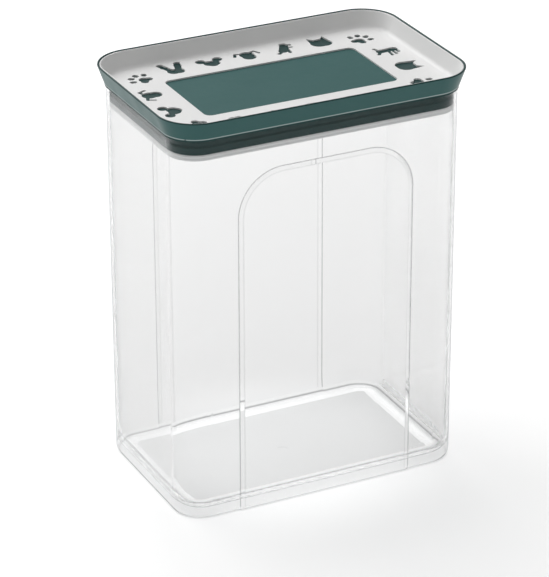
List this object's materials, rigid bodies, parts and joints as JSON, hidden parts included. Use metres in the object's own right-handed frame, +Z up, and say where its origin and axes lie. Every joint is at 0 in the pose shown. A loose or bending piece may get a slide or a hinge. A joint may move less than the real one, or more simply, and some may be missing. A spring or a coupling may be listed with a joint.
{
  "type": "pet food bin",
  "caption": "Clear rectangular food storage bin with raised arched panels and a press-in lid whose dished top carries a tray with cut-out animal shapes.",
  "frame": {"origin": "centre of the base, on the surface the bin stands on", "axes": "+Z up, X along the long side, -Y the front"},
  "size_m": [0.21, 0.136, 0.2742],
  "materials": {
    "clear_plastic": "clear, polished, faint grey tint",
    "green_plastic": "satin dark teal green",
    "white_plastic": "satin off-white",
    "silicone": "matt pale grey silicone"
  },
  "bodies": {
    "bin": {"container": "clear_plastic"},
    "lid": {"lid_shell": "green_plastic", "tray": "white_plastic", "gasket": "silicone"}
  },
  "joints": [
    {"name": "lid_lift", "type": "slide", "parent": "bin", "child": "lid", "axis": [0, 0, 1], "range_m": [0, 0.12]}
  ]
}
